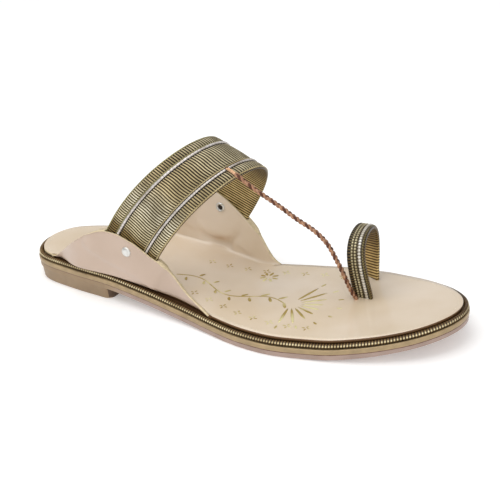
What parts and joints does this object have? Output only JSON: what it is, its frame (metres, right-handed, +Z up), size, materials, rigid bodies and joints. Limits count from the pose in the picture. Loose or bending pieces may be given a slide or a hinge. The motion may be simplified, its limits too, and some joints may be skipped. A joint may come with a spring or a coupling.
{
  "type": "toe loop slipper",
  "caption": "Flat open slipper with bent-up side wings, a ribbed instep band, a braided thong and a loop for the big toe.",
  "frame": {"origin": "middle of the bounding box on the ground, so the heel and the forefoot stand on z = 0", "axes": "+X from heel to toe, +Y to the medial side where the big toe lies, +Z up"},
  "size_m": [0.25, 0.0932, 0.0879],
  "materials": {
    "nude_rubber": "satin greyish pink, tan on the heel block",
    "gold_rand": "dull khaki gold",
    "brown_board": "dark brown bonded leather",
    "antique_gold": "ribbed metallic thread, light gold with dark grooves",
    "nude_leather": "glossy nude patent leather",
    "copper_braid": "metallic copper braid with dark strands",
    "silver_metal": "pale silver"
  },
  "bodies": {
    "root": {"outsole": "nude_rubber", "midsole": "gold_rand", "insole_board": "brown_board", "piping": "antique_gold", "leather_top": "nude_leather", "instep_band": "antique_gold", "toe_loop": "antique_gold", "thong": "copper_braid", "rivet_lateral": "silver_metal", "rivet_medial": "silver_metal"}
  },
  "joints": []
}
